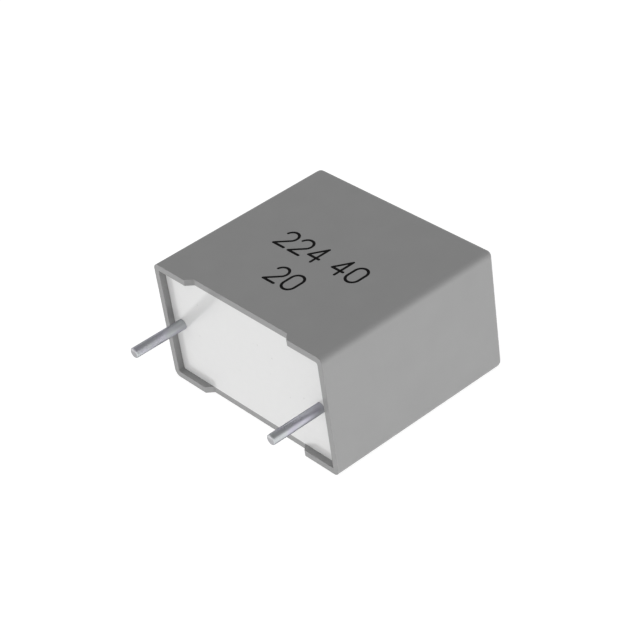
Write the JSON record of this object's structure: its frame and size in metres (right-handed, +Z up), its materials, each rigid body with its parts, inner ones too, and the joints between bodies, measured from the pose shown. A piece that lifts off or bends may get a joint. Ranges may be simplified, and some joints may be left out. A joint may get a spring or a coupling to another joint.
{
  "type": "box film capacitor",
  "caption": "Rectangular moulded box capacitor, resin-filled, with two straight round wires leaving its open side.",
  "frame": {"origin": "midway between the two wires, level with the feet of the case, at the middle of its thickness", "axes": "+X from the left wire to the right wire, +Y into the body away from the wires' free ends, +Z up, square to the broad side that it lies on"},
  "size_m": [0.018, 0.02, 0.01],
  "materials": {
    "case": "fine moulded grain, satin",
    "resin": "cast epoxy, smooth and glossy",
    "lead": "drawn wire, tinned",
    "roll": "metallised film, wound",
    "wrap": "clear film, wound",
    "spray": "sprayed zinc, rough",
    "marking": "printed ink"
  },
  "bodies": {
    "root": {"case": "case", "potting_resin": "resin", "film_winding": "roll", "winding_wrap": "wrap", "end_spray_left": "spray", "end_spray_right": "spray", "lead_left": "lead", "lead_right": "lead"}
  },
  "joints": []
}
